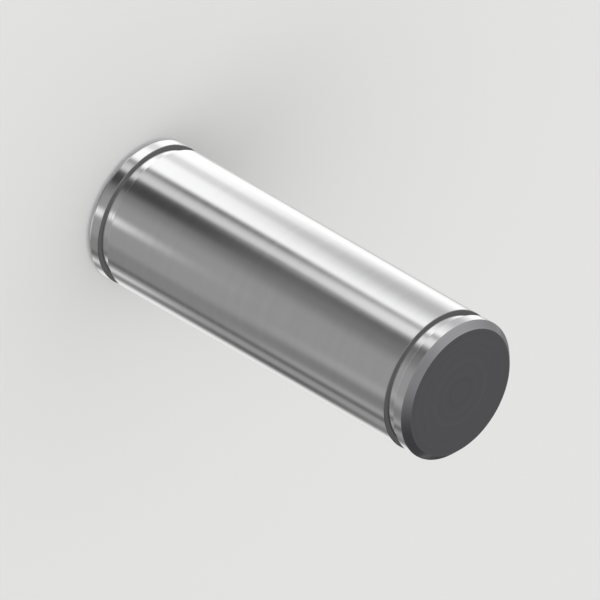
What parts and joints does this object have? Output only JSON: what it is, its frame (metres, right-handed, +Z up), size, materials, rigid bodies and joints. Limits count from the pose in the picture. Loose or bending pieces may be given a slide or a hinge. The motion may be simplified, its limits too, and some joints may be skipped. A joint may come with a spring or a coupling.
{
  "type": "grooved pin",
  "caption": "Straight round steel pin with chamfered ends and a square retaining-ring groove near each end, for joining parts through aligned bores.",
  "frame": {"origin": "centre of the lower end face, on the pin's axis", "axes": "+Z up along the pin's axis; the pin is round, so X and Y are any two directions across it"},
  "size_m": [0.012, 0.012, 0.0353],
  "materials": {
    "ground_steel": "bright ground outer surface, turned end faces, chamfers and grooves"
  },
  "bodies": {
    "root": {"pin": "ground_steel"}
  },
  "joints": []
}
